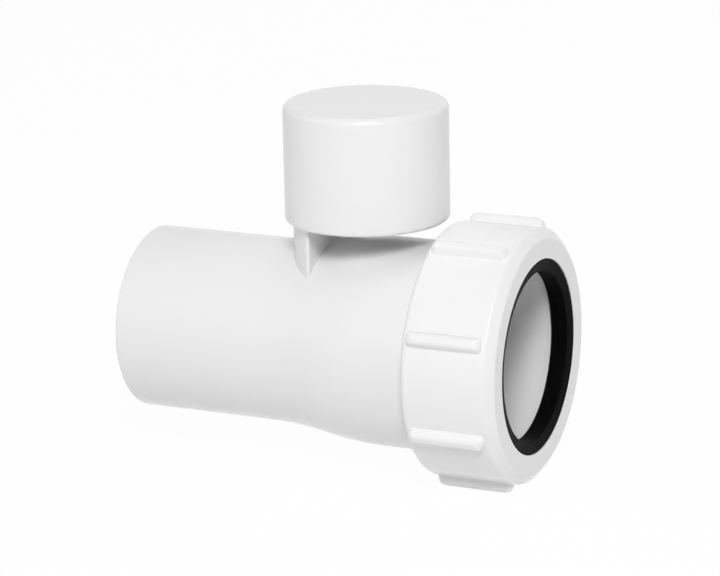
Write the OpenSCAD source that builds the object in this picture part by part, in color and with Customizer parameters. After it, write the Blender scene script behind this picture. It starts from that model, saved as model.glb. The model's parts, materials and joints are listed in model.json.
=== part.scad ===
// In-line air admittance valve for a waste pipe.
// The pipe runs along +X from the spigot's end face (the origin) to the compression nut, and +Z is up.
// Air enters under the cap, rises through the inlet, lifts the diaphragm and goes down the leg into the pipe.

/* [Pipe] */
// Outside diameter of the waste pipe: the spigot's own, and that of the pipe pushed into the socket
pipe_d = 43; // [40:0.5:50]
// Straight length of the spigot
spigot_len = 34; // [28:0.5:40]
// Wall of the spigot
spigot_wall = 2.6; // [2:0.1:3.2]
// Rounding of the spigot's outer end edge
spigot_round = 0.5; // [0.2:0.1:1]
// Length of the flare between spigot and socket
flare_len = 28.6; // [24:0.2:34]
// Wall of the socket
socket_wall = 2.5; // [2:0.1:3.5]
// Length of the socket, from the flare to its mouth
socket_len = 30.2; // [28:0.2:40]
// Radial play of a pipe in the socket
pipe_play = 0.3; // [0.1:0.05:0.6]
// Radial width of the ledge that stops the pipe
stop_ledge = 1.4; // [0.8:0.1:2]
// Chamfer inside and outside the socket's mouth
mouth_chamfer = 0.7; // [0.3:0.1:1]

/* [Compression nut] */
// Length of the nut
nut_len = 22; // [22:0.2:26]
// Wall of the nut outside its thread
nut_wall = 3.3; // [2.5:0.1:4.5]
// Thickness of the nut's front wall
nut_front = 2.4; // [1.8:0.1:3]
// Radial play between the pipe and the nut's opening
hole_play = 1; // [0.6:0.1:1.6]
// Height of the thread between socket and nut
thread_depth = 1.5; // [1:0.1:2]
// Radial play over the thread's crests
thread_play = 0.3; // [0.2:0.05:0.5]
// Axial length of the front chamfer
chamfer_len = 1.8; // [1:0.1:2.2]
// Radial depth of the front chamfer
chamfer_drop = 2.3; // [1:0.1:3]
// Rounding of the rear edge
nut_round = 1.5; // [0.6:0.1:2]
// Number of grip bars
bar_count = 8; // [6:1:12]
// Width of a grip bar
bar_w = 3; // [2.9:0.1:4]
// Height of a grip bar above the nut
bar_h = 2.1; // [1:0.1:3]
// Length of a grip bar
bar_len = 18; // [12:0.2:18.4]
// Distance from a grip bar's front end to the front chamfer
bar_back = 0.8; // [0.2:0.1:1.2]
// Rounding of a grip bar's corners
bar_round = 1.2; // [0.5:0.1:1.4]
// Rounding of a grip bar's two ends, seen from the side
bar_nose = 1.8; // [1:0.1:2]
// Turn of the first grip bar from the viewer's side towards the top
bar_turn = 20; // [0:1:45]

/* [Seal] */
// Radial bite of the seal's lip on the pipe
lip_bite = 1.9; // [0.8:0.1:2.4]
// Thickness of the seal's flange between socket and slip ring
flange_t = 1.6; // [1:0.1:2.4]
// Recess of the lip's outer edge behind the nut's front face
lip_recess = 0.3; // [0.1:0.1:0.8]
// Dish of the lip's front face, from its outer to its inner edge
lip_dish = 0.7; // [0.2:0.1:1]
// Chamfer of the lip's inner edge at the back
lip_chamfer = 0.6; // [0.2:0.1:0.8]
// Thickness of the slip ring
slip_t = 1; // [0.6:0.1:1.4]

/* [Cap] */
// Distance from the spigot's end to the axis of the valve
valve_x = 55.6; // [53:0.2:58]
// Free height between the socket and the cap's lower edge, where air enters
air_gap = 4.8; // [4.6:0.1:8]
// Outside diameter of the cap
cap_d = 38; // [36:0.2:42]
// Height of the cap
cap_h = 27.2; // [25:0.2:36]
// Wall of the cap
cap_wall = 1.7; // [1.4:0.1:2.4]
// Radius of the cap's top edge
cap_fillet = 1.7; // [0.8:0.1:3]
// Radius of the cap's lower edge
cap_low_round = 0.8; // [0.3:0.1:0.8]
// Number of ribs inside the cap that rest on the turret
cap_rib_count = 6; // [3:1:8]
// Radial depth of a rib
cap_rib_depth = 1.6; // [1.2:0.1:1.8]
// Thickness of a rib
cap_rib_t = 1.2; // [0.8:0.1:2]
// Play between the cap and the turret
cap_play = 0.2; // [0.1:0.05:0.4]
// Height of the snap bead over the turret's wall
bead_h = 0.35; // [0.25:0.05:0.5]

/* [Leg and turret] */
// Distance from the valve's axis to the flat face of the leg
leg_flat = 8.2; // [7.4:0.1:9]
// Rounding of the leg's two upright edges
leg_round = 0.5; // [0.3:0.1:1.5]
// Wall of the leg
leg_wall = 2.1; // [1.6:0.1:2.6]
// Wall of the turret
turret_wall = 1.7; // [1.2:0.1:2]
// Height of the turret's floor above the cap's lower edge
floor_lift = 0.6; // [0.3:0.1:1.2]
// Thickness of the turret's floor
floor_t = 1.8; // [1.2:0.1:2.4]
// Height of the turret's rim above its floor
rim_h = 4.3; // [3:0.1:5.5]

/* [Air inlet] */
// Bore of the air inlet
inlet_d = 16.8; // [14:0.2:17.4]
// Wall of the air inlet
inlet_wall = 1.4; // [1:0.1:1.6]
// Distance from the valve's axis to the inlet's axis
inlet_shift = 4.2; // [3.6:0.1:4.4]
// Height of the seat above the turret's floor
seat_h = 6.3; // [6:0.1:8]
// Width of the seat's flat land
seat_land = 0.6; // [0.4:0.1:0.9]
// Number of guard spokes across the inlet
spoke_count = 4; // [3:1:6]
// Width of a guard spoke
spoke_w = 1.4; // [1:0.1:2]

/* [Diaphragm] */
// Outside diameter of the rubber diaphragm
diaphragm_d = 22; // [20:0.2:22]
// Thickness of the rubber diaphragm
diaphragm_t = 1.2; // [0.8:0.1:2]
// Diameter of the carrier's plate
carrier_d = 19; // [16:0.2:19.6]
// Thickness of the carrier's plate
carrier_t = 1.4; // [1:0.1:2]
// Diameter of the guide stem
stem_d = 4.8; // [3.6:0.2:6]
// Lift of the diaphragm off its seat
lift = 4; // [2:0.1:4.5]
// Radial play of the stem in its guide
stem_play = 0.3; // [0.2:0.05:0.5]
// Wall of the guide in the cap
guide_wall = 1.5; // [1:0.1:2]
// Clear height left over the stem at full lift
stem_top_play = 0.4; // [0.3:0.1:1]
// Diameter of the button that holds the rubber on its carrier
button_d = 6.4; // [5.6:0.2:8]
// Height of that button
button_h = 1; // [0.6:0.1:1.4]

/* [Hidden] */
$fn = 128;

white = [0.93, 0.93, 0.93];
nut_white = [0.97, 0.97, 0.97];
natural = [0.90, 0.90, 0.86];
black = [0.06, 0.06, 0.06];

// Radii about the pipe's axis
spigot_r = pipe_d / 2;
spigot_bore_r = spigot_r - spigot_wall;
socket_bore_r = spigot_r + pipe_play;
socket_r = socket_bore_r + socket_wall;
stop_r = socket_bore_r - stop_ledge;
nut_bore_r = socket_r + thread_depth + thread_play;
nut_r = nut_bore_r + nut_wall;
hole_r = spigot_r + hole_play;
lip_r = spigot_r - lip_bite;
seal_play = 0.3;
nose_r = hole_r - seal_play;
// Seal flange and slip ring pass through the nut's thread when the fitting is put together
thread_inner_r = nut_bore_r - thread_depth;
flange_r = thread_inner_r - seal_play;

// Stations along the pipe
flare_end = spigot_len + flare_len;
stop_x = flare_end + stop_ledge;
socket_end = flare_end + socket_len;
slip_x = socket_end + flange_t;
shoulder_x = slip_x + slip_t;
nut_x1 = shoulder_x + nut_front;
nut_x0 = nut_x1 - nut_len;

// Radii and heights about the valve's axis
cap_r = cap_d / 2;
cap_bore_r = cap_r - cap_wall;
turret_r = cap_bore_r - cap_play;
turret_bore_r = turret_r - turret_wall;
cap_z0 = socket_r + air_gap;
cap_z1 = cap_z0 + cap_h;
ceiling_z = cap_z1 - cap_wall;
floor_z0 = cap_z0 + floor_lift;
floor_z1 = floor_z0 + floor_t;
rim_z = floor_z1 + rim_h;
bead_z = (floor_z1 + rim_z) / 2;
seat_z = floor_z1 + seat_h;
inlet_r = inlet_d / 2;
carrier_z = seat_z + diaphragm_t;
guide_z = carrier_z + carrier_t + lift;
stem_r = stem_d / 2;
stem_top = ceiling_z - lift - stem_top_play;
hub_r = stem_r - 0.1;
hub_play = 0.2;
flare_steps = 16;
corner_blend = 0.01;

// Turns a shape drawn along Z so that it runs along the pipe
module along_pipe() { rotate([0, 90, 0]) children(); }

// Puts a shape on the valve's axis
module at_valve(z = 0) { translate([valve_x, 0, z]) children(); }

// Puts a shape on the inlet's axis
module at_inlet(z = 0) { translate([valve_x + inlet_shift, 0, z]) children(); }

// What a rounded edge takes off a half outline's corner at radius r and height z
// (way is 1 for a lower edge and -1 for an upper one)
module edge_cut_2d(r, z, round, way) {
    difference() {
        translate([r - round, way > 0 ? z - 1 : z - round]) square(round + 1);
        translate([r - round, z + way * round]) circle(round);
    }
}

// Share of the flare's step reached at t, from 0 to 1 along it: two equal arcs that meet smoothly
function flare_share(t) = t < 0.5 ? 2 * t * t : 1 - 2 * (1 - t) * (1 - t);

// Points of an S-shaped flare from r0 to r1
function flare_points(r0, r1) =
    [for (i = [0 : flare_steps]) [r0 + (r1 - r0) * flare_share(i / flare_steps),
                                  spigot_len + flare_len * i / flare_steps]];

// Half outline of the pipe's outside
module pipe_outline_2d() {
    difference() {
        polygon(concat([[0, 0], [spigot_r, 0]], flare_points(spigot_r, socket_r),
                       [[socket_r, socket_end - mouth_chamfer],
                        [socket_r - mouth_chamfer, socket_end], [0, socket_end]]));
        edge_cut_2d(spigot_r, 0, spigot_round, 1);
    }
}

// Half outline of the pipe's bore, with the ledge that stops the pipe
module pipe_bore_2d() {
    polygon(concat([[0, -1], [spigot_bore_r, -1]], flare_points(spigot_bore_r, stop_r),
                   [[stop_r, stop_x], [socket_bore_r, stop_x], [socket_bore_r, socket_end - mouth_chamfer],
                    [socket_bore_r + mouth_chamfer, socket_end],
                    [socket_bore_r + mouth_chamfer, socket_end + 1], [0, socket_end + 1]]));
}

// Outline of the leg: a circle cut off by the flat face, with both corners rounded
module leg_outline_2d() {
    centre_x = -leg_flat - leg_round;
    centre_y = sqrt(pow(turret_r - leg_round, 2) - pow(centre_x, 2));
    reach = (turret_r + 1) / (turret_r - leg_round);
    difference() {
        segment_2d(turret_r, leg_flat);
        for (side = [-1, 1])
            difference() {
                polygon([[centre_x, side * centre_y], [1 - leg_flat, side * centre_y],
                         [1 - leg_flat, side * (turret_r + 1)],
                         [centre_x * reach, side * centre_y * reach]]);
                translate([centre_x, side * centre_y]) circle(leg_round + corner_blend);
            }
    }
}

// The part of a circle that lies beyond a flat on the spigot's side
module segment_2d(r, flat) {
    intersection() {
        circle(r);
        translate([-r - 1, -r - 1]) square([r + 1 - flat, 2 * r + 2]);
    }
}

// Floor, wall and snap bead of the round turret under the cap
module turret() {
    at_valve() {
        difference() {
            translate([0, 0, floor_z0]) cylinder(r = turret_r, h = rim_z - floor_z0);
            translate([0, 0, floor_z1]) cylinder(r = turret_bore_r, h = rim_z);
        }
        rotate_extrude() translate([turret_r, bead_z]) circle(bead_h, $fn = 32);
    }
}

// Upright inlet tube whose narrow top edge is the diaphragm's seat
module inlet_tube() {
    at_inlet()
        rotate_extrude()
            polygon([[inlet_r, floor_z0], [inlet_r + inlet_wall, floor_z0],
                     [inlet_r + inlet_wall, seat_z - (inlet_wall - seat_land)],
                     [inlet_r + seat_land, seat_z], [inlet_r, seat_z]]);
}

// Guard spokes across the lower end of the inlet
module inlet_guard() {
    at_inlet(floor_z0)
        intersection() {
            cylinder(r = inlet_r + inlet_wall / 2, h = floor_t);
            for (i = [0 : spoke_count - 1])
                rotate([0, 0, i * 360 / spoke_count + 45])
                    translate([0, -spoke_w / 2, 0]) cube([inlet_r + inlet_wall, spoke_w, floor_t]);
        }
}

// Spigot, flare, socket, leg and turret: one moulding
module valve_body() {
    color(white) {
        difference() {
            union() {
                along_pipe() rotate_extrude() pipe_outline_2d();
                at_valve() linear_extrude(floor_z1) leg_outline_2d();
                turret();
                inlet_tube();
            }
            along_pipe() rotate_extrude() pipe_bore_2d();
            at_valve() linear_extrude(rim_z) segment_2d(turret_r - leg_wall, leg_flat + leg_wall);
            at_inlet(floor_z0 - 1) cylinder(r = inlet_r, h = seat_h + floor_t + 2);
        }
        inlet_guard();
    }
}

// One grip bar along the top of the nut, rounded in plan, in section and at both ends
module grip_bar() {
    foot_r = nut_r - nut_wall / 2;
    rise = nut_r + bar_h - foot_r;
    bar_x = nut_x1 - chamfer_len - bar_back - bar_len;
    translate([bar_x, 0, foot_r])
        intersection() {
            linear_extrude(rise) soft_rect_2d(bar_len, bar_w, bar_round);
            translate([0, bar_w, 0]) rotate([90, 0, 0])
                linear_extrude(2 * bar_w) dome_rect_2d(0, bar_len, rise, bar_nose);
            rotate([90, 0, 90])
                linear_extrude(bar_len) dome_rect_2d(-bar_w / 2, bar_w, rise, bar_round / 2);
        }
}

// Rectangle from x = 0, centred on y, with four round corners
module soft_rect_2d(length, width, round) {
    translate([round, -width / 2]) square([length - 2 * round, width]);
    translate([0, round - width / 2]) square([length, width - 2 * round]);
    for (x = [round, length - round], y = [round - width / 2, width / 2 - round])
        translate([x, y]) circle(round, $fn = 48);
}

// Rectangle from x0 with its two upper corners rounded
module dome_rect_2d(x0, width, height, round) {
    translate([x0, 0]) square([width, height - round]);
    translate([x0 + round, 0]) square([width - 2 * round, height]);
    for (x = [x0 + round, x0 + width - round])
        translate([x, height - round]) circle(round, $fn = 48);
}

// Half outline of the nut
module nut_outline_2d() {
    face_r = nut_r - chamfer_drop;
    lead = thread_depth;
    difference() {
        polygon([[0, nut_x0], [nut_r, nut_x0], [nut_r, nut_x1 - chamfer_len], [face_r, nut_x1], [0, nut_x1]]);
        edge_cut_2d(nut_r, nut_x0, nut_round, 1);
        polygon([[0, nut_x0 - 1], [nut_bore_r + lead / 2, nut_x0 - 1], [nut_bore_r + lead / 2, nut_x0],
                 [nut_bore_r, nut_x0 + lead], [nut_bore_r, shoulder_x], [0, shoulder_x]]);
        translate([0, nut_x0 - 1]) square([hole_r, nut_len + 2]);
    }
}

// Compression nut with its grip bars
module compression_nut() {
    color(nut_white) {
        along_pipe() rotate_extrude() nut_outline_2d();
        for (i = [0 : bar_count - 1])
            rotate([90 - bar_turn + i * 360 / bar_count, 0, 0]) grip_bar();
    }
}

// Rubber ring: a flange on the socket's mouth and a lipped nose in the nut's opening
module rubber_seal() {
    lip_x = nut_x1 - lip_recess;
    color(black)
        along_pipe() rotate_extrude()
            polygon([[lip_r + lip_chamfer, socket_end], [flange_r, socket_end], [flange_r, slip_x],
                     [nose_r, slip_x], [nose_r, lip_x], [lip_r, lip_x - lip_dish],
                     [lip_r, socket_end + lip_chamfer]]);
}

// Thin ring on which the nut's shoulder turns
module slip_ring() {
    color(natural)
        along_pipe() rotate_extrude()
            translate([hole_r, slip_x]) square([flange_r - hole_r, slip_t]);
}

// Half outline of the cap's outside
module cap_outline_2d() {
    difference() {
        translate([0, cap_z0]) square([cap_r, cap_h]);
        edge_cut_2d(cap_r, cap_z0, cap_low_round, 1);
        edge_cut_2d(cap_r, cap_z1, cap_fillet, -1);
    }
}

// Cap with the ribs that rest on the turret and the guide for the diaphragm's stem
module valve_cap() {
    guide_r = stem_r + stem_play + guide_wall;
    color(white) {
        at_valve()
            difference() {
                rotate_extrude() cap_outline_2d();
                translate([0, 0, cap_z0 - 1]) cylinder(r = cap_bore_r, h = ceiling_z - cap_z0 + 1);
                rotate_extrude() translate([turret_r, bead_z]) circle(bead_h + cap_play, $fn = 32);
            }
        at_inlet(guide_z)
            difference() {
                cylinder(r = guide_r, h = ceiling_z - guide_z + cap_wall / 2);
                translate([0, 0, -1]) cylinder(r = stem_r + stem_play, h = ceiling_z - guide_z + 1);
            }
        for (i = [0 : cap_rib_count - 1])
            at_valve(rim_z) rotate([0, 0, (i + 0.5) * 360 / cap_rib_count])
                translate([cap_bore_r - cap_rib_depth, -cap_rib_t / 2, 0])
                    cube([cap_rib_depth + cap_wall / 2, cap_rib_t, ceiling_z - rim_z + cap_wall / 2]);
    }
}

// Plate with the guide stem above it and, below it, the button that holds the rubber
module diaphragm_carrier() {
    color(natural)
        at_inlet()
            rotate_extrude()
                polygon([[0, seat_z - button_h], [button_d / 2, seat_z - button_h], [button_d / 2, seat_z],
                         [hub_r, seat_z], [hub_r, carrier_z], [carrier_d / 2, carrier_z],
                         [carrier_d / 2, carrier_z + carrier_t], [stem_r, carrier_z + carrier_t],
                         [stem_r, stem_top], [0, stem_top]]);
}

// Flat rubber disc that closes the inlet
module rubber_diaphragm() {
    color(black)
        at_inlet()
            rotate_extrude()
                translate([hub_r + hub_play, seat_z]) square([diaphragm_d / 2 - hub_r - hub_play, diaphragm_t]);
}

valve_body();
compression_nut();
rubber_seal();
slip_ring();
valve_cap();
diaphragm_carrier();
rubber_diaphragm();
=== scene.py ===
import json
import math

import bmesh
import bpy
from mathutils import Matrix, Vector


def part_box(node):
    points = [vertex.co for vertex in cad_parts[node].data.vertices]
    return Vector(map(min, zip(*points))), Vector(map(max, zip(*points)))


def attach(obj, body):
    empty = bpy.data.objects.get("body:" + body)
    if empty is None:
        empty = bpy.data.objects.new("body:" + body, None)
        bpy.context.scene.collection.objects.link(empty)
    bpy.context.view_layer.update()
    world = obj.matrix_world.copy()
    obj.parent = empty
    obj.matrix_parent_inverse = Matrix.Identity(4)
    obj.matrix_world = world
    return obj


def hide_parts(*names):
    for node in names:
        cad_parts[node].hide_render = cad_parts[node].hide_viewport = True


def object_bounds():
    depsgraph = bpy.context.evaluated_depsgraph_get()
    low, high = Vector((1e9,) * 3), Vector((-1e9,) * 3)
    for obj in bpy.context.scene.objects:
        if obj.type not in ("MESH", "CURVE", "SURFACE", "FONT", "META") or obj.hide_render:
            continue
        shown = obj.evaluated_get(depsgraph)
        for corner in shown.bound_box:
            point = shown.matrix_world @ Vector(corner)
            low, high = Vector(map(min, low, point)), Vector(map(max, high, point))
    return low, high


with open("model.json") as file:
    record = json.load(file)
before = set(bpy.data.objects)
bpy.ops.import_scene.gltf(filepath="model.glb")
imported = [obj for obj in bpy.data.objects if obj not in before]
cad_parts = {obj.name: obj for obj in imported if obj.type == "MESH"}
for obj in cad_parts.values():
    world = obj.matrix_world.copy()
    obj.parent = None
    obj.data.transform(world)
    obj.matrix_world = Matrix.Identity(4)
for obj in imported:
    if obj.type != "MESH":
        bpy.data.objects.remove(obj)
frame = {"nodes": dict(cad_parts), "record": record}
cad_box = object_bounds()

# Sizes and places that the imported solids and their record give, in millimetres
MM = 0.001
nut_low, nut_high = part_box("compression_nut")
slip_low, slip_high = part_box("slip_ring")
seal_low, seal_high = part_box("rubber_seal")
mount_radius = {mount["name"]: mount["dims"]["r_mm"] for mount in frame["record"]["mounts"]}
couplings = frame["record"]["behaviour"]["couplings"]
travel_per_radian = {coupling["joint"]: coupling["ratio"] for coupling in couplings}
SPIGOT_R = mount_radius["spigot"]
SOCKET_R = -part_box("valve_body")[0].z / MM
NUT_X0 = nut_low.x / MM
NUT_X1 = nut_high.x / MM
NUT_SHOULDER_X = slip_high.x / MM
SEAL_X0 = seal_low.x / MM
SEAL_FLANGE_X = slip_low.x / MM
SEAL_FLANGE_R = seal_high.z / MM
SEAL_LIP_R = mount_radius["pipe_seal"]
THREAD_PITCH = travel_per_radian["nut_travel"] * 2 * math.pi / MM

# Pipe, cap and leg, in millimetres
SPIGOT_LEN = 34.0
FLARE_LEN = 28.6
VALVE_X = 55.6
CAP_R = 19.0
CAP_WALL = 1.7
CAP_PLAY = 0.2
LEG_R = CAP_R - CAP_WALL - CAP_PLAY
LEG_FLAT = 8.2
LEG_ROUND = 0.5

# Fillet between leg and pipe, how deep its ring is rooted in both, and how far it sinks into their surfaces
LEG_FILLET = 0.15
LEG_FILLET_ROOT = 0.3
LEG_FILLET_SINK = 0.01

# Thread, in millimetres and turns: the socket's ridge lies half a pitch further along than the nut's
THREAD_HEIGHT = 1.5
THREAD_PLAY = 0.3
THREAD_ROOT = 0.15
NUT_THREAD_X = NUT_X0 + 3.2
NUT_THREAD_TURNS = 3.6
NUT_THREAD_FOOT = 1.9
NUT_THREAD_CREST = 0.7
SOCKET_THREAD_X = NUT_THREAD_X + THREAD_PITCH / 2
SOCKET_THREAD_TURNS = 3.0
SOCKET_THREAD_FOOT = 2.0
SOCKET_THREAD_CREST = 0.9
# Shares: of its length in which a ridge fades at each end, and of its size that is left at the very end
THREAD_FADE = 0.08
THREAD_LEAST = 0.02

# Nut, in millimetres: its wall, its opening and the roundings of its edges
NUT_WALL = 3.3
NUT_BORE_R = SOCKET_R + THREAD_HEIGHT + THREAD_PLAY
NUT_R = NUT_BORE_R + NUT_WALL
NUT_HOLE_PLAY = 1.0
NUT_HOLE_R = SPIGOT_R + NUT_HOLE_PLAY
NUT_LEAD = 1.5
NUT_CHAMFER_LEN = 1.8
NUT_CHAMFER_DROP = 2.3
NUT_REAR_ROUND = 1.5
NUT_SIDE_ROUND = 0.6
NUT_FACE_ROUND = 1.0
NUT_HOLE_ROUND = 0.15
NUT_SHOULDER_ROUND = 0.2
NUT_BORE_ROUND = 0.4
NUT_LEAD_ROUND = 0.3

# Grip bars, in millimetres and degrees: width at the foot, roundings in plan, in side view and in section
BAR_COUNT = 8
BAR_TURN = 20.0
BAR_LEN = 18.0
BAR_W = 3.4
BAR_H = 2.1
BAR_BACK = 0.8
BAR_X0 = NUT_X1 - NUT_CHAMFER_LEN - BAR_BACK - BAR_LEN
BAR_CORNER = 1.2
BAR_TOP_CORNER = 0.35
BAR_LEAST_FLAT = 0.05
BAR_NOSE = 1.8
BAR_SIDE_ROUND = 0.7
# How far ends and sides lean in, the fillet at the foot, and the hem by which it runs out under the wall
BAR_END_DRAFT = 0.12
BAR_SIDE_DRAFT = 0.6
BAR_FOOT = 0.25
BAR_HEM = 0.3
BAR_SINK = 0.03
BAR_ROOT = 0.6

# Seal, in millimetres: its nose lies just inside the nut's opening and just behind its front face
SEAL_PLAY = 0.1
SEAL_RECESS = 0.1
SEAL_NOSE_R = NUT_HOLE_R - SEAL_PLAY
SEAL_NOSE_X = NUT_X1 - SEAL_RECESS
SEAL_DISH = 0.7
SEAL_CHAMFER = 0.6
SEAL_ROUND = 0.2
SEAL_LIP_ROUND = 0.3

# Gate marks: radius and height of a mark's rings from its rim to its middle, and where the two marks lie
GATE_MARK = ((0.75, -0.05), (0.72, 0.02), (0.62, 0.05), (0.45, 0.05), (0.3, 0.0))
NUT_MARK_X = NUT_X0 + 5.7
NUT_MARK_TURN = math.radians(17.8)
CAP_MARK_X = VALVE_X + 0.1
CAP_MARK_Z = 36.9

# Steps in which round shapes are drawn
RING_STEPS = 192
THREAD_STEPS = 360
MARK_STEPS = 32
BAR_CORNER_STEPS = 8
BAR_FOOT_STEPS = 5
BAR_SIDE_STEPS = 16
LEG_ARC_STEPS = 96
LEG_EDGE_STEPS = 12
LEG_FLAT_STEPS = 32
LEG_FILLET_STEPS = 6


# Materials


def linear(hex_colour):
    """An sRGB hex value as linear RGBA."""
    channels = [int(hex_colour[i:i + 2], 16) / 255 for i in (1, 3, 5)]
    return [c / 12.92 if c <= 0.04045 else ((c + 0.055) / 1.055) ** 2.4 for c in channels] + [1.0]


def add(tree, kind, settings=None, values=None, links=None):
    """A node of that kind with its settings, its input values and its links from other nodes' outputs."""
    made = tree.nodes.new(kind)
    for name, value in (settings or {}).items():
        setattr(made, name, value)
    for name, value in (values or {}).items():
        made.inputs[name].default_value = value
    for name, source in (links or {}).items():
        tree.links.new(source, made.inputs[name])
    return made


def moulded_plastic(name, colour, roughness, grain_depth_mm):
    """Injection-moulded polyolefin: white to the eye, satin, with the fine grain of the mould's surface
    and a slow drift of gloss where the melt cooled."""
    material = bpy.data.materials.new(name)
    material.use_nodes = True
    tree = material.node_tree
    tree.nodes.clear()
    place = add(tree, "ShaderNodeTexCoord")
    drift_size = 14 * MM
    flow = add(tree, "ShaderNodeTexNoise", values={"Scale": 1 / drift_size, "Detail": 2.0},
               links={"Vector": place.outputs["Object"]})
    gloss_drift = 0.05
    gloss = add(tree, "ShaderNodeMapRange",
                values={"To Min": roughness - gloss_drift, "To Max": roughness + gloss_drift},
                links={"Value": flow.outputs["Fac"]})
    # The real grain is a few hundredths of a millimetre wide: drawn coarser, so that it shows
    grain_size = 0.5 * MM
    grain = add(tree, "ShaderNodeTexNoise", values={"Scale": 1 / grain_size, "Detail": 3.0},
                links={"Vector": place.outputs["Object"]})
    relief = add(tree, "ShaderNodeBump", values={"Strength": 0.35, "Distance": grain_depth_mm * MM},
                 links={"Height": grain.outputs["Fac"]})
    surface = add(tree, "ShaderNodeBsdfPrincipled",
                  values={"Base Color": linear(colour), "IOR": 1.49, "Specular IOR Level": 0.5},
                  links={"Roughness": gloss.outputs["Result"], "Normal": relief.outputs["Normal"]})
    add(tree, "ShaderNodeOutputMaterial", links={"Surface": surface.outputs["BSDF"]})
    return material


def epdm_rubber():
    """Moulded EPDM: deep black, matt with a soft sheen, and a fine grain with a trace of pale bloom."""
    material = bpy.data.materials.new("epdm_rubber")
    material.use_nodes = True
    tree = material.node_tree
    tree.nodes.clear()
    place = add(tree, "ShaderNodeTexCoord")
    bloom_size = 3.5 * MM
    bloom = add(tree, "ShaderNodeTexNoise", values={"Scale": 1 / bloom_size, "Detail": 5.0},
                links={"Vector": place.outputs["Object"]})
    tone = add(tree, "ShaderNodeMix", {"data_type": "RGBA"},
               {6: linear("#040404"), 7: linear("#0b0b0b")}, {0: bloom.outputs["Fac"]})
    gloss = add(tree, "ShaderNodeMapRange", values={"To Min": 0.42, "To Max": 0.6},
                links={"Value": bloom.outputs["Fac"]})
    grain_size = 0.25 * MM
    grain_depth = 0.03 * MM
    grain = add(tree, "ShaderNodeTexNoise", values={"Scale": 1 / grain_size, "Detail": 2.0},
                links={"Vector": place.outputs["Object"]})
    relief = add(tree, "ShaderNodeBump", values={"Strength": 0.4, "Distance": grain_depth},
                 links={"Height": grain.outputs["Fac"]})
    surface = add(tree, "ShaderNodeBsdfPrincipled", values={"IOR": 1.52, "Specular IOR Level": 0.025},
                  links={"Base Color": tone.outputs[2], "Roughness": gloss.outputs["Result"],
                         "Normal": relief.outputs["Normal"]})
    add(tree, "ShaderNodeOutputMaterial", links={"Surface": surface.outputs["BSDF"]})
    return material


# Name, colour, roughness and depth of the grain in millimetres
body_plastic = moulded_plastic("moulded_white_polypropylene", "#ededed", 0.24, 0.012)
nut_plastic = moulded_plastic("moulded_bright_white_polypropylene", "#f1f1f1", 0.24, 0.01)
inner_plastic = moulded_plastic("natural_polypropylene", "#e3e2d7", 0.45, 0.02)
seal_rubber = epdm_rubber()

SLOT_MATERIALS = {"body_plastic": body_plastic, "nut_plastic": nut_plastic,
                  "inner_plastic": inner_plastic, "seal_rubber": seal_rubber}
for subpart in frame["record"]["subparts"]:
    carried = frame["nodes"][subpart["node"]]
    carried.data.materials.clear()
    carried.data.materials.append(SLOT_MATERIALS[subpart["material_slot"]])


# Mesh helpers


def softened(corners, steps=6):
    """The closed outline through corners (x, r, fillet), with each corner rounded by its fillet."""
    outline = []
    count = len(corners)
    for i, (x, r, fillet) in enumerate(corners):
        corner = Vector((x, r))
        before = (Vector(corners[i - 1][:2]) - corner).normalized()
        after = (Vector(corners[(i + 1) % count][:2]) - corner).normalized()
        half = before.angle(after) / 2
        centre = corner + (before + after).normalized() * fillet / math.sin(half)
        start = corner + before * fillet / math.tan(half) - centre
        turn = start.angle_signed(corner + after * fillet / math.tan(half) - centre)
        for k in range(steps + 1):
            outline.append(centre + Matrix.Rotation(-turn * k / steps, 2) @ start)
    return outline


def skinned(mesh, loops, closed):
    """Adds a skin over loops of as many points each, in millimetres: from the last loop back to the first
    one if closed, else with both ends covered."""
    rings = [[mesh.verts.new(Vector(point) * MM) for point in loop] for loop in loops]
    if closed:
        rings.append(rings[0])
    else:
        mesh.faces.new(rings[0])
        mesh.faces.new(rings[-1])
    for ring, following in zip(rings, rings[1:]):
        for k in range(len(ring)):
            n = (k + 1) % len(ring)
            mesh.faces.new((ring[k], ring[n], following[n], following[k]))


def turned(mesh, outline):
    """Adds the closed outline of (x, r) points, in millimetres, turned about the pipe's axis."""
    angles = [2 * math.pi * k / RING_STEPS for k in range(RING_STEPS)]
    skinned(mesh, [[(x, r * math.cos(a), r * math.sin(a)) for a in angles] for x, r in outline], True)


def gate_mark(mesh, centre, outward):
    """Adds the low round scar that a mould's gate leaves, at centre on a surface that faces outward."""
    across = Vector(outward).cross(Vector((1, 0, 0)))
    loops = []
    for radius, height in GATE_MARK:
        loop = []
        for k in range(MARK_STEPS):
            angle = 2 * math.pi * k / MARK_STEPS
            spoke = Vector((1, 0, 0)) * math.cos(angle) + across * math.sin(angle)
            loop.append(Vector(centre) + Vector(outward) * height + spoke * radius)
        loops.append(loop)
    skinned(mesh, loops, False)


def finished(mesh, name, material):
    """The bmesh as an object with outward, smooth faces whose normals follow the larger faces."""
    bmesh.ops.recalc_face_normals(mesh, faces=mesh.faces)
    for face in mesh.faces:
        face.smooth = True
    data = bpy.data.meshes.new(name)
    mesh.to_mesh(data)
    mesh.free()
    data.materials.append(material)
    piece = bpy.data.objects.new(name, data)
    bpy.context.scene.collection.objects.link(piece)
    weighted = piece.modifiers.new("weighted", "WEIGHTED_NORMAL")
    weighted.keep_sharp = True
    return piece


def settled(piece):
    """Turns what the piece's modifiers give into its own plain mesh."""
    depsgraph = bpy.context.evaluated_depsgraph_get()
    data = bpy.data.meshes.new_from_object(piece.evaluated_get(depsgraph))
    piece.modifiers.clear()
    piece.data = data
    return piece


# Rules that repeat a shape or follow a path, as Geometry Nodes


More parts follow.
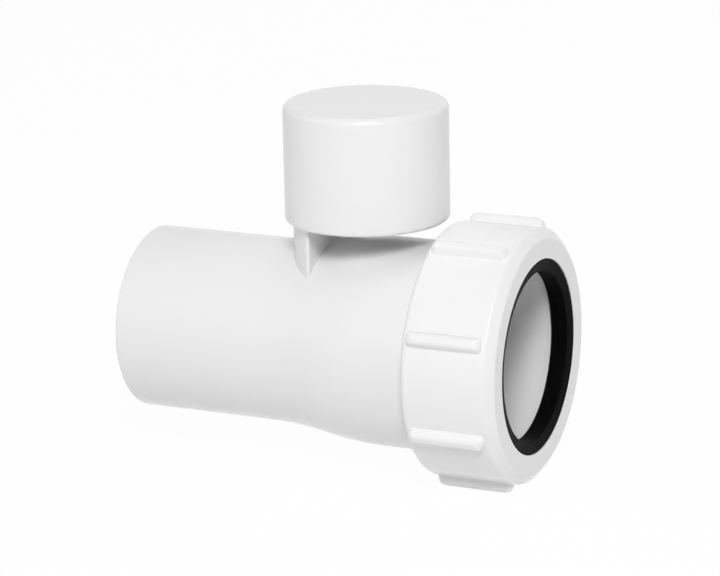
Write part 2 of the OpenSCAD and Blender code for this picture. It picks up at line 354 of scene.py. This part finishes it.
def new_rule(name, inputs):
    """A node tree with these named inputs (name: socket type), and the outputs of its input node."""
    tree = bpy.data.node_groups.new(name, "GeometryNodeTree")
    for label, kind in inputs.items():
        tree.interface.new_socket(label, in_out="INPUT", socket_type=kind)
    tree.interface.new_socket("Geometry", in_out="OUTPUT", socket_type="NodeSocketGeometry")
    return tree, add(tree, "NodeGroupInput").outputs


def close_rule(tree, instances, material):
    """Ends the tree: the instances made real, with their material."""
    real = add(tree, "GeometryNodeRealizeInstances", links={"Geometry": instances})
    painted = add(tree, "GeometryNodeSetMaterial",
                  links={"Geometry": real.outputs[0], "Material": material})
    add(tree, "NodeGroupOutput", links={"Geometry": painted.outputs[0]})


def shape_by_rule(tree, values, source=None):
    """The plain mesh that the tree makes with these named values, from the source mesh if it takes one."""
    holder = bpy.data.objects.new(tree.name, source or bpy.data.meshes.new(tree.name))
    bpy.context.scene.collection.objects.link(holder)
    rule = holder.modifiers.new(tree.name, "NODES")
    rule.node_group = tree
    for socket in tree.interface.items_tree:
        if socket.in_out == "INPUT" and socket.name in values:
            rule[socket.identifier] = values[socket.name]
    made = bpy.data.meshes.new_from_object(holder.evaluated_get(bpy.context.evaluated_depsgraph_get()))
    bpy.data.objects.remove(holder)
    return made


def ring_rule():
    """Repeats a shape evenly about the pipe's axis."""
    tree, given = new_rule("ring_of_bars", {
        "Geometry": "NodeSocketGeometry", "Count": "NodeSocketInt", "First Turn": "NodeSocketFloat",
        "Material": "NodeSocketMaterial"})
    spots = add(tree, "GeometryNodePoints", links={"Count": given["Count"]})
    order = add(tree, "GeometryNodeInputIndex")
    step = add(tree, "ShaderNodeMath", {"operation": "DIVIDE"}, {0: 2 * math.pi}, {1: given["Count"]})
    turn = add(tree, "ShaderNodeMath", {"operation": "MULTIPLY_ADD"},
               links={0: order.outputs[0], 1: step.outputs[0], 2: given["First Turn"]})
    about = add(tree, "ShaderNodeCombineXYZ", links={"X": turn.outputs[0]})
    copies = add(tree, "GeometryNodeInstanceOnPoints",
                 links={"Points": spots.outputs[0], "Instance": given["Geometry"],
                        "Rotation": about.outputs[0]})
    close_rule(tree, copies.outputs[0], given["Material"])
    return tree


def thread_rule():
    """A ridge with a trapezoid section along a right-hand helix about the pipe's axis, fading at both ends.
    A negative height makes it stand inwards."""
    tree, given = new_rule("thread_ridge", {
        "Radius": "NodeSocketFloat", "Pitch": "NodeSocketFloat", "Turns": "NodeSocketFloat",
        "Start": "NodeSocketFloat", "Height": "NodeSocketFloat", "Foot Width": "NodeSocketFloat",
        "Crest Width": "NodeSocketFloat", "Fade": "NodeSocketFloat", "Material": "NodeSocketMaterial"})
    line = add(tree, "GeometryNodeCurvePrimitiveLine")
    points = add(tree, "GeometryNodeResampleCurve", values={"Count": THREAD_STEPS},
                 links={"Curve": line.outputs[0]})
    along = add(tree, "GeometryNodeSplineParameter")
    turns = add(tree, "ShaderNodeMath", {"operation": "MULTIPLY"},
                links={0: along.outputs["Factor"], 1: given["Turns"]})
    angle = add(tree, "ShaderNodeMath", {"operation": "MULTIPLY"}, {1: 2 * math.pi}, {0: turns.outputs[0]})
    cosine = add(tree, "ShaderNodeMath", {"operation": "COSINE"}, links={0: angle.outputs[0]})
    sine = add(tree, "ShaderNodeMath", {"operation": "SINE"}, links={0: angle.outputs[0]})
    across = add(tree, "ShaderNodeMath", {"operation": "MULTIPLY"},
                 links={0: cosine.outputs[0], 1: given["Radius"]})
    upward = add(tree, "ShaderNodeMath", {"operation": "MULTIPLY"},
                 links={0: sine.outputs[0], 1: given["Radius"]})
    forward = add(tree, "ShaderNodeMath", {"operation": "MULTIPLY"},
                  links={0: turns.outputs[0], 1: given["Pitch"]})
    spot = add(tree, "ShaderNodeCombineXYZ",
               links={"X": across.outputs[0], "Y": upward.outputs[0], "Z": forward.outputs[0]})
    helix = add(tree, "GeometryNodeSetPosition",
                links={"Geometry": points.outputs[0], "Position": spot.outputs[0]})
    upright = add(tree, "GeometryNodeSetCurveNormal", {"mode": "Z_UP"}, links={"Curve": helix.outputs[0]})
    # The ridge is smallest at its two ends, and whole once the fade is past
    left = add(tree, "ShaderNodeMath", {"operation": "SUBTRACT"}, {0: 1.0}, {1: along.outputs["Factor"]})
    nearer = add(tree, "ShaderNodeMath", {"operation": "MINIMUM"},
                 links={0: left.outputs[0], 1: along.outputs["Factor"]})
    fade = add(tree, "ShaderNodeMath", {"operation": "DIVIDE", "use_clamp": True},
               links={0: nearer.outputs[0], 1: given["Fade"]})
    whole = add(tree, "ShaderNodeMath", {"operation": "MAXIMUM"}, {1: THREAD_LEAST}, {0: fade.outputs[0]})
    faded = add(tree, "GeometryNodeSetCurveRadius",
                links={"Curve": upright.outputs[0], "Radius": whole.outputs[0]})
    # Its section stands on the helix, with its crest outwards or, if the height is negative, inwards
    size = add(tree, "ShaderNodeMath", {"operation": "ABSOLUTE"}, links={0: given["Height"]})
    section = add(tree, "GeometryNodeCurvePrimitiveQuadrilateral", {"mode": "TRAPEZOID"}, {"Offset": 0.0},
                  {"Height": size.outputs[0], "Bottom Width": given["Foot Width"],
                   "Top Width": given["Crest Width"]})
    half = add(tree, "ShaderNodeMath", {"operation": "DIVIDE"}, {1: 2.0}, {0: given["Height"]})
    lift = add(tree, "ShaderNodeCombineXYZ", links={"X": half.outputs[0]})
    way = add(tree, "ShaderNodeMath", {"operation": "SIGN"}, links={0: given["Height"]})
    quarter = add(tree, "ShaderNodeMath", {"operation": "MULTIPLY"}, {1: -math.pi / 2}, {0: way.outputs[0]})
    crest_way = add(tree, "ShaderNodeCombineXYZ", links={"Z": quarter.outputs[0]})
    on_foot = add(tree, "GeometryNodeTransform",
                  links={"Geometry": section.outputs[0], "Translation": lift.outputs[0],
                         "Rotation": crest_way.outputs[0]})
    ridge = add(tree, "GeometryNodeCurveToMesh", values={"Fill Caps": True},
                links={"Curve": faded.outputs[0], "Profile Curve": on_foot.outputs[0]})
    place = add(tree, "ShaderNodeCombineXYZ", links={"X": given["Start"]})
    laid = add(tree, "GeometryNodeTransform", values={"Rotation": (0, math.pi / 2, 0)},
               links={"Geometry": ridge.outputs[0], "Translation": place.outputs[0]})
    close_rule(tree, laid.outputs[0], given["Material"])
    return tree


# Compression nut


def nut_wall(x):
    """Radius of the nut's outside at x along it, with the rounding of its rear edge."""
    short = max(NUT_X0 + NUT_REAR_ROUND - x, 0)
    return NUT_R - NUT_REAR_ROUND + math.sqrt(NUT_REAR_ROUND ** 2 - short ** 2)


def bar_loop(inset_x, inset_y, height):
    """Points round one grip bar's plan: its outline, drawn in from the ends and the sides by the two insets
    (outwards if negative), lifted by height off the nut's wall."""
    corner = max(BAR_CORNER - max(inset_x, inset_y), BAR_TOP_CORNER)
    corner = min(corner, BAR_W / 2 - inset_y - BAR_LEAST_FLAT)
    far_x = BAR_LEN - inset_x - corner
    far_y = BAR_W / 2 - inset_y - corner
    points = []
    for x, y, first in ((far_x, far_y, 0), (BAR_LEN - far_x, far_y, 90),
                        (BAR_LEN - far_x, -far_y, 180), (far_x, -far_y, 270)):
        for k in range(BAR_CORNER_STEPS + 1):
            angle = math.radians(first + 90 * k / BAR_CORNER_STEPS)
            along = BAR_X0 + x + corner * math.cos(angle)
            side = y + corner * math.sin(angle)
            rise = math.sqrt(nut_wall(along) ** 2 - side ** 2) + height
            points.append((along, side, rise))
    return points


def round_inset(height, radius):
    """How far an edge of that radius at the bar's top has drawn in at that height."""
    over = max(height - (BAR_H - radius), 0)
    return radius - math.sqrt(max(radius ** 2 - over ** 2, 0))


def grip_bar():
    """One grip bar over the nut's wall, on the +Z side: a soft foot, sloped sides and a rounded top."""
    hem = -BAR_FOOT - BAR_HEM
    loops = [bar_loop(hem, hem, -BAR_ROOT), bar_loop(hem, hem, -BAR_SINK)]
    for k in range(BAR_FOOT_STEPS):
        angle = math.radians(90 * k / BAR_FOOT_STEPS)
        spread = BAR_FOOT * (math.sin(angle) - 1)
        loops.append(bar_loop(spread, spread, BAR_FOOT * (1 - math.cos(angle))))
    for k in range(BAR_SIDE_STEPS + 1):
        height = BAR_FOOT + (BAR_H - BAR_FOOT) * math.sin(math.radians(90 * k / BAR_SIDE_STEPS))
        share = (height - BAR_FOOT) / (BAR_H - BAR_FOOT)
        inset_x = BAR_END_DRAFT * share + round_inset(height, BAR_NOSE)
        inset_y = BAR_SIDE_DRAFT * share + round_inset(height, BAR_SIDE_ROUND)
        loops.append(bar_loop(inset_x, inset_y, height))
    mesh = bmesh.new()
    skinned(mesh, loops, False)
    data = bpy.data.meshes.new("grip_bar")
    mesh.to_mesh(data)
    mesh.free()
    return data


def nut_shell(mesh):
    """The nut's turned wall with soft edges."""
    turned(mesh, softened([
        (NUT_X0, NUT_R, NUT_REAR_ROUND),
        (NUT_X1 - NUT_CHAMFER_LEN, NUT_R, NUT_SIDE_ROUND),
        (NUT_X1, NUT_R - NUT_CHAMFER_DROP, NUT_FACE_ROUND),
        (NUT_X1, NUT_HOLE_R, NUT_HOLE_ROUND),
        (NUT_SHOULDER_X, NUT_HOLE_R, NUT_SHOULDER_ROUND),
        (NUT_SHOULDER_X, NUT_BORE_R, NUT_BORE_ROUND),
        (NUT_X0 + NUT_LEAD, NUT_BORE_R, NUT_LEAD_ROUND),
        (NUT_X0, NUT_BORE_R + NUT_LEAD / 2, NUT_LEAD_ROUND)]))


threads = thread_rule()
nut_mesh = bmesh.new()
nut_shell(nut_mesh)
mark_y = -math.cos(NUT_MARK_TURN)
mark_z = -math.sin(NUT_MARK_TURN)
gate_mark(nut_mesh, (NUT_MARK_X, NUT_R * mark_y, NUT_R * mark_z), (0, mark_y, mark_z))
nut_mesh.from_mesh(shape_by_rule(ring_rule(), {
    "Count": BAR_COUNT, "First Turn": math.radians(90 - BAR_TURN), "Material": nut_plastic}, grip_bar()))
nut_mesh.from_mesh(shape_by_rule(threads, {
    "Radius": (NUT_BORE_R + THREAD_ROOT) * MM, "Pitch": THREAD_PITCH * MM, "Turns": NUT_THREAD_TURNS,
    "Start": NUT_THREAD_X * MM, "Height": -THREAD_HEIGHT * MM, "Foot Width": NUT_THREAD_FOOT * MM,
    "Crest Width": NUT_THREAD_CREST * MM, "Fade": THREAD_FADE, "Material": nut_plastic}))
nut = settled(finished(nut_mesh, "nut_moulding", nut_plastic))


# Thread on the socket

thread_mesh = bmesh.new()
thread_mesh.from_mesh(shape_by_rule(threads, {
    "Radius": (SOCKET_R - THREAD_ROOT) * MM, "Pitch": THREAD_PITCH * MM, "Turns": SOCKET_THREAD_TURNS,
    "Start": SOCKET_THREAD_X * MM, "Height": THREAD_HEIGHT * MM, "Foot Width": SOCKET_THREAD_FOOT * MM,
    "Crest Width": SOCKET_THREAD_CREST * MM, "Fade": THREAD_FADE, "Material": body_plastic}))
thread = settled(finished(thread_mesh, "socket_thread", body_plastic))
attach(thread, "valve")


# Soft foot of the leg on the pipe


def pipe_radius(x):
    """Radius of the pipe's outside at x along it."""
    t = min(max((x - SPIGOT_LEN) / FLARE_LEN, 0), 1)
    share = 2 * t * t if t < 0.5 else 1 - 2 * (1 - t) ** 2
    return SPIGOT_R + (SOCKET_R - SPIGOT_R) * share


def leg_loop(outside, height):
    """Points round the leg's D-shaped section, that far outside it and that high over the pipe."""
    corner_x = -LEG_FLAT - LEG_ROUND
    corner_y = math.sqrt((LEG_R - LEG_ROUND) ** 2 - corner_x ** 2)
    turn = math.atan2(corner_y, corner_x)
    plan = []
    for k in range(LEG_ARC_STEPS + 1):
        angle = turn + (2 * math.pi - 2 * turn) * k / LEG_ARC_STEPS
        plan.append(((LEG_R + outside) * math.cos(angle), (LEG_R + outside) * math.sin(angle)))
    for side, first, last in ((-1, -turn, 0), (1, 0, turn)):
        for k in range(1, LEG_EDGE_STEPS):
            angle = first + (last - first) * k / LEG_EDGE_STEPS
            reach = LEG_ROUND + outside
            plan.append((corner_x + reach * math.cos(angle), side * corner_y + reach * math.sin(angle)))
        if side < 0:
            for k in range(LEG_FLAT_STEPS + 1):
                plan.append((outside - LEG_FLAT, corner_y * (2 * k / LEG_FLAT_STEPS - 1)))
    loop = []
    for x, y in plan:
        loop.append((VALVE_X + x, y, math.sqrt(pipe_radius(VALVE_X + x) ** 2 - y ** 2) + height))
    return loop


foot_loops = [leg_loop(-LEG_FILLET_ROOT, -LEG_FILLET_ROOT), leg_loop(LEG_FILLET, -LEG_FILLET_ROOT)]
for k in range(LEG_FILLET_STEPS + 1):
    angle = math.radians(90 * k / LEG_FILLET_STEPS)
    outside = LEG_FILLET * (1 - math.sin(angle)) - LEG_FILLET_SINK
    height = LEG_FILLET * (1 - math.cos(angle)) - LEG_FILLET_SINK
    foot_loops.append(leg_loop(outside, height))
foot_loops.append(leg_loop(-LEG_FILLET_ROOT, LEG_FILLET))
foot_mesh = bmesh.new()
skinned(foot_mesh, foot_loops, True)
leg_foot = settled(finished(foot_mesh, "leg_foot", body_plastic))
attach(leg_foot, "valve")


# Gate mark on the cap

mark_mesh = bmesh.new()
gate_mark(mark_mesh, (CAP_MARK_X, -CAP_R, CAP_MARK_Z), (0, -1, 0))
cap_mark = settled(finished(mark_mesh, "cap_gate_mark", body_plastic))
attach(cap_mark, "valve")


# Rubber seal

seal_mesh = bmesh.new()
turned(seal_mesh, softened([
    (SEAL_X0, SEAL_LIP_R + SEAL_CHAMFER, SEAL_ROUND),
    (SEAL_X0, SEAL_FLANGE_R, SEAL_ROUND),
    (SEAL_FLANGE_X, SEAL_FLANGE_R, SEAL_ROUND),
    (SEAL_FLANGE_X, SEAL_NOSE_R, SEAL_ROUND),
    (SEAL_NOSE_X, SEAL_NOSE_R, SEAL_LIP_ROUND),
    (SEAL_NOSE_X - SEAL_DISH, SEAL_LIP_R, SEAL_LIP_ROUND),
    (SEAL_X0 + SEAL_CHAMFER, SEAL_LIP_R, SEAL_ROUND)]))
seal = settled(finished(seal_mesh, "seal_ring", seal_rubber))

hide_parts("compression_nut")
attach(nut, "nut")
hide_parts("rubber_seal")
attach(seal, "valve")


# Studio

# Floor and lamps in metres; the camera's place in metres, its angles in radians and its lens in millimetres
FLOOR_Z = cad_box[0].z
FLOOR_R = 4.0
LAMP_AIM = Vector((0.05, 0, 0.01))
LAMP_DISTANCE = 1.1
CAMERA_PLACE = Vector((0.35086, -0.64306, 0.21141))
CAMERA_TURN = 0.4334
CAMERA_TILT = 0.2745
CAMERA_ROLL = -0.0202
CAMERA_LENS = 158.94


def set_camera():
    """Camera at the photograph's place, aim and focal length."""
    data = bpy.data.cameras.new("camera")
    data.sensor_fit = "HORIZONTAL"
    data.sensor_width = 36.0
    data.lens = CAMERA_LENS
    data.clip_start = 0.01
    camera = bpy.data.objects.new("camera", data)
    bpy.context.scene.collection.objects.link(camera)
    ahead = Vector((-math.sin(CAMERA_TURN) * math.cos(CAMERA_TILT),
                    math.cos(CAMERA_TURN) * math.cos(CAMERA_TILT), -math.sin(CAMERA_TILT)))
    level = Vector((math.cos(CAMERA_TURN), math.sin(CAMERA_TURN), 0))
    upright = level.cross(ahead)
    right = level * math.cos(CAMERA_ROLL) + upright * math.sin(CAMERA_ROLL)
    up = upright * math.cos(CAMERA_ROLL) - level * math.sin(CAMERA_ROLL)
    aim = Matrix((right, up, -ahead)).transposed().to_4x4()
    camera.matrix_world = Matrix.Translation(CAMERA_PLACE) @ aim
    bpy.context.scene.camera = camera


def seen_by_eye(tree):
    """1 on rays from the camera, and on those that glossy and clear surfaces send on; else 0."""
    path = add(tree, "ShaderNodeLightPath")
    either = add(tree, "ShaderNodeMath", {"operation": "MAXIMUM"},
                 links={0: path.outputs["Is Camera Ray"], 1: path.outputs["Is Glossy Ray"]})
    return add(tree, "ShaderNodeMath", {"operation": "MAXIMUM"},
               links={0: either.outputs[0], 1: path.outputs["Is Transmission Ray"]})


def set_world(strength):
    """White surroundings: even light of that strength, and pure white to the eye."""
    world = bpy.data.worlds.new("white_surroundings")
    bpy.context.scene.world = world
    world.use_nodes = True
    tree = world.node_tree
    tree.nodes.clear()
    eye = seen_by_eye(tree)
    level = add(tree, "ShaderNodeMapRange", values={"To Min": strength, "To Max": 1.0},
                links={"Value": eye.outputs[0]})
    light = add(tree, "ShaderNodeBackground", values={"Color": linear("#ffffff")},
                links={"Strength": level.outputs["Result"]})
    add(tree, "ShaderNodeOutputWorld", links={"Surface": light.outputs["Background"]})


def set_floor(share):
    """Pale floor that keeps the object's shadow; that share of what the eye sees of it is plain white."""
    material = bpy.data.materials.new("pale_floor")
    material.use_nodes = True
    tree = material.node_tree
    tree.nodes.clear()
    eye = seen_by_eye(tree)
    amount = add(tree, "ShaderNodeMath", {"operation": "MULTIPLY"}, {1: share}, {0: eye.outputs[0]})
    matt = add(tree, "ShaderNodeBsdfDiffuse", values={"Color": linear("#f6f6f6")})
    white = add(tree, "ShaderNodeEmission", values={"Color": linear("#ffffff"), "Strength": 1.0})
    mixed = add(tree, "ShaderNodeMixShader",
                links={0: amount.outputs[0], 1: matt.outputs[0], 2: white.outputs[0]})
    add(tree, "ShaderNodeOutputMaterial", links={"Surface": mixed.outputs[0]})
    mesh = bmesh.new()
    bmesh.ops.create_circle(mesh, cap_ends=True, segments=96, radius=FLOOR_R)
    data = bpy.data.meshes.new("floor")
    mesh.to_mesh(data)
    mesh.free()
    data.transform(Matrix.Translation((0, 0, FLOOR_Z)))
    data.materials.append(material)
    floor = bpy.data.objects.new("floor", data)
    bpy.context.scene.collection.objects.link(floor)


def add_softbox(name, turn, height, wide, tall, power, in_gloss=False):
    """A soft light at the lamps' distance from the fitting: turned that many degrees from the front (-Y) to
    the right (+X), and as many degrees high as given. Glossy surfaces show it only if in_gloss is set."""
    across = math.radians(turn)
    upward = math.radians(height)
    level = math.cos(upward)
    way = Vector((math.sin(across) * level, -math.cos(across) * level, math.sin(upward)))
    data = bpy.data.lights.new(name, "AREA")
    data.shape = "RECTANGLE"
    data.size = wide
    data.size_y = tall
    data.energy = power
    lamp = bpy.data.objects.new(name, data)
    bpy.context.scene.collection.objects.link(lamp)
    lamp.visible_glossy = in_gloss
    lamp.location = LAMP_AIM + LAMP_DISTANCE * way
    lamp.rotation_euler = (-way).to_track_quat("-Z", "Y").to_euler()


set_camera()
set_world(strength=0.02)
set_floor(share=0.97)
# Name, turn and height in degrees, width and height in metres, power in watts
add_softbox("key_softbox", 25, 38, 0.22, 0.28, 7.05, in_gloss=True)
add_softbox("front_fill", -20, 15, 0.6, 0.4, 0.6)
add_softbox("left_fill", -60, 20, 0.5, 0.5, 1.9)
add_softbox("top_fill", 0, 87, 0.8, 0.8, 2.4)
add_softbox("right_fill", 98, 8, 0.8, 0.4, 1.35)
add_softbox("right_high_fill", 70, 35, 0.5, 0.5, 0.8)
add_softbox("back_fill", 180, 42, 0.6, 0.6, 3.1)
bpy.context.scene.view_settings.view_transform = "Standard"
